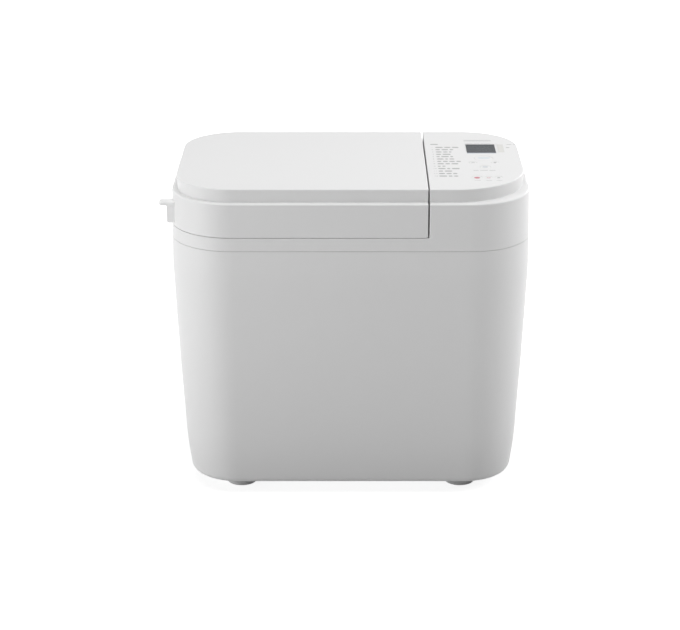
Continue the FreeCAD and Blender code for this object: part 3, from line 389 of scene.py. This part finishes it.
def bar(x, y, width, height):
    """Outline of a bar with rounded ends, centred at x, y."""
    r = min(width, height) / 2
    reach = max(width, height) / 2 - r
    along = 0.0 if width >= height else math.pi / 2
    points = []
    for shift, start in ((reach, along - math.pi / 2), (-reach, along + math.pi / 2)):
        for step in range(BAR_END_STEPS + 1):
            angle = start + math.pi * step / BAR_END_STEPS
            points.append((x + shift * math.cos(along) + r * math.cos(angle),
                           y + shift * math.sin(along) + r * math.sin(angle)))
    return points


def oval(x, y, width, height, steps=OVAL_STEPS):
    """Outline of an oval, centred at x, y."""
    turns = [2 * math.pi * step / steps for step in range(steps)]
    return [(x + width / 2 * math.cos(turn), y + height / 2 * math.sin(turn)) for turn in turns]


def ring(x, y, size, line):
    """Four-cornered pieces that make a round ring."""
    outer = oval(x, y, size, size, RING_STEPS)
    inner = oval(x, y, size - 2 * line, size - 2 * line, RING_STEPS)
    pieces = []
    for step in range(RING_STEPS):
        following = (step + 1) % RING_STEPS
        pieces.append([outer[step], outer[following], inner[following], inner[step]])
    return pieces


def line_of_words(x, y, lengths, height):
    """A line of print too small to read: plain bars with gaps between them."""
    bars = []
    for length in lengths:
        bars.append(bar(x + length / 2, y, length, height))
        x += length + WORD_GAP
    return bars


def lines_from(x, y, lines):
    """Lines of print, each placed to the right of and behind the point x, y."""
    bars = []
    for right, back, lengths, height in lines:
        bars += line_of_words(x + right, y + back, lengths, height)
    return bars


def numeral(word, x, y, size):
    """Flat outlines of a number, centred at x, y."""
    line = bpy.data.curves.new("numeral", "FONT")
    line.body = word
    line.size = size
    line.resolution_u = 3
    line.align_x = "CENTER"
    line.align_y = "CENTER"
    holder = bpy.data.objects.new("numeral", line)
    flat = bpy.data.meshes.new_from_object(holder)
    corners = [(x + v.co.x, y + v.co.y) for v in flat.vertices]
    shapes = [[corners[k] for k in face.vertices] for face in flat.polygons]
    bpy.data.objects.remove(holder)
    bpy.data.curves.remove(line)
    bpy.data.meshes.remove(flat)
    return shapes


def inked(name, body, ink, outlines, level):
    """One printed piece: every outline as a thin closed layer on a level surface."""
    layer = bmesh.new()
    for outline in outlines:
        layer.faces.new([layer.verts.new((x * MM, y * MM, level - PRINT_SINK)) for x, y in outline])
    bmesh.ops.remove_doubles(layer, verts=layer.verts[:], dist=WELD)
    lifted = bmesh.ops.extrude_face_region(layer, geom=layer.faces[:])
    tops = [item for item in lifted["geom"] if isinstance(item, bmesh.types.BMVert)]
    bmesh.ops.translate(layer, verts=tops, vec=(0, 0, PRINT_SINK + PRINT_RISE))
    bmesh.ops.recalc_face_normals(layer, faces=layer.faces[:])

    mesh = bpy.data.meshes.new(name)
    layer.to_mesh(mesh)
    layer.free()
    mesh.materials.append(INKS[ink])
    piece = bpy.data.objects.new(name, mesh)
    bpy.context.scene.collection.objects.link(piece)
    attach(piece, body)


def sides(node):
    """A CAD node's left, front, right and back sides."""
    low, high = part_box(node)
    return [side / MM for side in (*low[:2], *high[:2])]


def middle(node):
    """Plan centre of a CAD node."""
    left, front, right, back = sides(node)
    return (left + right) / 2, (front + back) / 2


def top(node):
    """Level of a CAD node's top."""
    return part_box(node)[1][2]


# The programme list: the lengths of the words on each of its lines, and where they stand.
LIST_LINES = (
    (9.0, 7.5, 8.0),
    (5.5, 8.0, 4.5),
    (7.0, 5.5, 3.0),
    (6.0, 9.5),
    (4.0, 9.0, 3.5),
    (8.0, 3.5, 6.0),
    (5.0, 6.0, 6.5, 5.5),
    (7.5, 5.5, 8.0),
    (3.5, 4.0),
    (8.5, 4.0, 9.0),
    (5.5, 8.5),
    (7.0, 6.0, 5.0),
    (9.0, 4.5, 5.0),
)
LIST_FROM_RIGHT = 105.6
LIST_TOP = 49.5
LIST_PITCH = 9.8
NUMBER_INDENT, NUMBER_SIZE = 1.2, 4.2
WORDS_INDENT, WORDS_HEIGHT = 4.6, 4.0
HEADING_INDENT, HEADING_Y = -0.5, 62.5
HEADING_LENGTH, HEADING_HEIGHT = 9.0, 3.4


def programme_list():
    """Numbered lines down the left of the panel, under a heading."""
    left = sides("top_deck")[2] - LIST_FROM_RIGHT
    numbers, words = [], []
    for row, lengths in enumerate(LIST_LINES):
        y = LIST_TOP - LIST_PITCH * row
        numbers += numeral(str(row + 1), left + NUMBER_INDENT, y, NUMBER_SIZE)
        words += line_of_words(left + WORDS_INDENT, y, lengths, WORDS_HEIGHT)
    words += line_of_words(left + HEADING_INDENT, HEADING_Y, (HEADING_LENGTH,), HEADING_HEIGHT)
    inked("list_numbers", "housing", "print_soft", numbers, top("top_deck"))
    inked("list_words", "housing", "print_soft", words, top("top_deck"))


# The printed border covers this much of the window at its left, front, right and back.
BORDER_LEFT, BORDER_FRONT, BORDER_RIGHT, BORDER_BACK = 1.0, 0.1, 2.6, 3.0

# Fine print: how far to the right and behind each line starts, its words' lengths, its height.
CAPTION_LINES = [(-0.2, 10.6 + 2.3 * row, (31.6,), 0.6) for row in range(3)]
LINES_BEHIND_WINDOW = [(1.0, 1.6, (9.0, 6.5, 11.0), 0.7)]
LINES_BESIDE_WINDOW = [(11.5, -4.0, (6.0, 3.0), 0.9), (10.0, -17.0, (4.0,), 1.4)]
LINES_BESIDE_MENU = [(-14.0, -13.5, (6.0, 9.0, 7.0), 0.9)]
KEY_NAME_DROP, KEY_NAME_LENGTH, KEY_NAME_HEIGHT = 12.0, 6.5, 0.6


def panel_marks():
    """Fine print round the display and the keys, and a painted shade strip along the display window's
    front edge.
    """
    left, front, right, back = sides("lcd_window")
    caption = lines_from(left, back, CAPTION_LINES)
    marks = lines_from(left, back, LINES_BEHIND_WINDOW)
    marks += lines_from(right, back, LINES_BESIDE_WINDOW)
    marks += lines_from(*middle("key_menu"), LINES_BESIDE_MENU)
    for node in ("key_start", "key_crust", "key_stop"):
        x, y = middle(node)
        marks.append(bar(x, y - KEY_NAME_DROP, KEY_NAME_LENGTH, KEY_NAME_HEIGHT))
    beside = patch(right + 0.3, front + 2.0, right + 7.2, back - 3.5)
    # painted shade: a slate strip along the window's front edge stands for the shade there
    painted_shade_strip = patch(left + BORDER_LEFT, front - 2.6, right - BORDER_RIGHT, front - 0.4)
    inked("caption_lines", "housing", "print_grey", caption, top("top_deck"))
    inked("panel_marks", "housing", "print_grey", marks, top("top_deck"))
    inked("panel_patch", "housing", "print_pale", [beside], top("top_deck"))
    inked("painted_shade_below_display", "housing", "print_slate", [painted_shade_strip], top("top_deck"))


def display_border():
    """White printed border round the glass; it leaves the display itself clear."""
    left, front, right, back = sides("lcd_window")
    clear_left, clear_right = left + BORDER_LEFT, right - BORDER_RIGHT
    clear_front, clear_back = front + BORDER_FRONT, back - BORDER_BACK
    strips = [
        patch(left, front, right, clear_front),
        patch(left, clear_back, right, back),
        patch(left, clear_front, clear_left, clear_back),
        patch(clear_right, clear_front, right, clear_back),
    ]
    inked("display_border", "housing", "print_white", strips, top("lcd_window"))


# Each key's sign: its ink and its outlines, drawn about the key's middle.
# The three front keys' signs sit a little towards the user.
SIGN_DROP = 1.6
KEY_SIGNS = {
    "select": ("print_blue", [oval(1.0, 1.0, 15.0, 9.0)]),
    "minus": ("print_grey", [bar(0.0, 0.0, 4.0, 1.1)]),
    "plus": ("print_dark", [bar(x, 0.0, 1.6, 0.9) for x in (-1.35, 1.35)] + [bar(0.0, 0.0, 0.9, 4.2)]),
    "menu": ("print_slate", [bar(0.0, y, 6.0, 0.7) for y in (-1.5, 0.0, 1.5)]),
    "start": ("print_red", [oval(0.0, -SIGN_DROP, 6.4, 6.4)]),
    "crust": ("print_pink", ring(0.0, -SIGN_DROP, 4.4, 1.2)),
    "stop": ("print_soft", [bar(0.0, -SIGN_DROP, 3.6, 3.6)]),
}


def key_signs():
    """One plain sign on each key."""
    for key, (ink, outlines) in KEY_SIGNS.items():
        node = "key_" + key
        x, y = middle(node)
        placed = [[(x + across, y + along) for across, along in outline] for outline in outlines]
        inked(node + "_sign", key + "_key", ink, placed, top(node))


# The clock on the display: where its figures stand, and the seven strokes of a figure,
# each with its place in widths and half heights from the figure's middle, and its size.
FACE_INSET_X, FACE_INSET_Y = 1.5, 2.4
FIGURES = ((-9.6, "3"), (2.4, "2"), (9.8, "0"))
FIGURE_WIDTH, FIGURE_HALF_HEIGHT = 5.0, 9.0
LEVEL_STROKE = (3.8, 0.9)
UPRIGHT_STROKE = (0.9, 7.4)
STROKES = (
    (0.0, 1.0, LEVEL_STROKE),
    (0.5, 0.5, UPRIGHT_STROKE),
    (0.5, -0.5, UPRIGHT_STROKE),
    (0.0, -1.0, LEVEL_STROKE),
    (-0.5, -0.5, UPRIGHT_STROKE),
    (-0.5, 0.5, UPRIGHT_STROKE),
    (0.0, 0.0, LEVEL_STROKE),
)
LIT_STROKES = {"3": (0, 1, 2, 3, 6), "2": (0, 1, 6, 4, 3), "0": (0, 1, 2, 3, 4, 5)}
COLON_X, COLON_Y, COLON_DOT = -3.6, (-3.0, 3.0), 1.1


def display():
    """The face below the window, with a clock's strokes, lit and faint."""
    left, front, right, back = sides("lcd_module")
    centre_x, centre_y = middle("lcd_module")
    face = patch(left + FACE_INSET_X, front + FACE_INSET_Y, right - FACE_INSET_X, back - FACE_INSET_Y)
    lit, faint = [], []
    for place, figure in FIGURES:
        for number, (across, along, size) in enumerate(STROKES):
            x = centre_x + place + across * FIGURE_WIDTH
            y = centre_y + along * FIGURE_HALF_HEIGHT
            strokes = lit if number in LIT_STROKES[figure] else faint
            strokes.append(bar(x, y, *size))
    for y in COLON_Y:
        lit.append(bar(centre_x + COLON_X, centre_y + y, COLON_DOT, COLON_DOT))
    level = top("lcd_module")
    inked("display_face", "housing", "display_face", [face], level)
    inked("display_figures", "housing", "segment_dark", lit, level + PRINT_RISE)
    inked("display_segments", "housing", "segment_faint", faint, level + PRINT_RISE)


programme_list()
panel_marks()
display_border()
key_signs()
display()


# --- studio ---

def make_floor():
    """Pale floor that keeps the machine's shadow, with painted shade in its tone close to the machine."""
    sheet = bmesh.new()
    bmesh.ops.create_grid(sheet, x_segments=2, y_segments=2, size=FLOOR_REACH)
    mesh = bpy.data.meshes.new("floor")
    sheet.to_mesh(mesh)
    sheet.free()
    floor = bpy.data.objects.new("floor", mesh)
    bpy.context.scene.collection.objects.link(floor)
    paper = Finish("floor_paper", Roughness=0.9, Specular_IOR_Level=0.1)
    away = paper.add("ShaderNodeVectorMath", {"operation": "LENGTH"}, {0: paper.place()}, output="Value")
    near_painted_shade_tone, far_tone = FLOOR_TONES_WITH_PAINTED_SHADE
    near_glow, far_glow = FLOOR_GLOWS
    # painted shade: the floor's tone is darker close to the machine, so it also throws less light back
    # onto it
    floor_tone_with_painted_shade = paper.blend(paper.ramp(away, *FLOOR_PAINTED_SHADE_SPAN), grey(near_painted_shade_tone), grey(far_tone))
    glow = paper.blend(paper.ramp(away, *FLOOR_GLOW_SPAN), grey(near_glow), grey(far_glow))
    paper.set(Base_Color=floor_tone_with_painted_shade)
    paper.set(Emission_Color=paper.blend(paper.seen_plainly(), grey(0.0), glow), Emission_Strength=1.0)
    mesh.materials.append(paper.material)


def make_world():
    """Dim light from all round; white where it is seen plainly."""
    world = bpy.data.worlds.new("studio")
    bpy.context.scene.world = world
    world.use_nodes = True
    world.node_tree.nodes.clear()
    sky = Nodes(world.node_tree)
    dim = sky.add("ShaderNodeBackground", inputs={"Color": grey(1.0), "Strength": AMBIENT})
    white = sky.add("ShaderNodeBackground", inputs={"Color": grey(1.0), "Strength": 1.0})
    shown = sky.add("ShaderNodeMixShader", inputs={0: sky.seen_plainly(), 1: dim, 2: white})
    sky.add("ShaderNodeOutputWorld", inputs={"Surface": shown})


def make_softbox(name, place, width, height, power):
    lamp = bpy.data.lights.new(name, "AREA")
    lamp.shape = "RECTANGLE"
    lamp.size = width
    lamp.size_y = height
    lamp.energy = power
    holder = bpy.data.objects.new(name, lamp)
    bpy.context.scene.collection.objects.link(holder)
    holder.location = place
    facing = Vector(SOFTBOX_AIM) - Vector(place)
    holder.rotation_euler = facing.to_track_quat("-Z", "Y").to_euler()


def make_camera():
    lens = bpy.data.cameras.new("camera")
    camera = bpy.data.objects.new("camera", lens)
    bpy.context.scene.collection.objects.link(camera)
    lens.lens = LENS
    lens.sensor_width = SENSOR_WIDTH
    lens.shift_x = SHIFT_RIGHT
    aim = Vector((AIM_X, 0.0, AIM_HEIGHT))
    backwards = Vector((0.0, -math.cos(CAMERA_LIFT), math.sin(CAMERA_LIFT)))
    camera.location = aim + CAMERA_DISTANCE * backwards
    camera.rotation_euler = (math.pi / 2 - CAMERA_LIFT, 0.0, 0.0)
    bpy.context.scene.camera = camera


make_floor()
make_world()
for name, (place, width, height, power) in SOFTBOXES.items():
    make_softbox(name, place, width, height, power)
make_camera()
bpy.context.scene.view_settings.view_transform = "Standard"
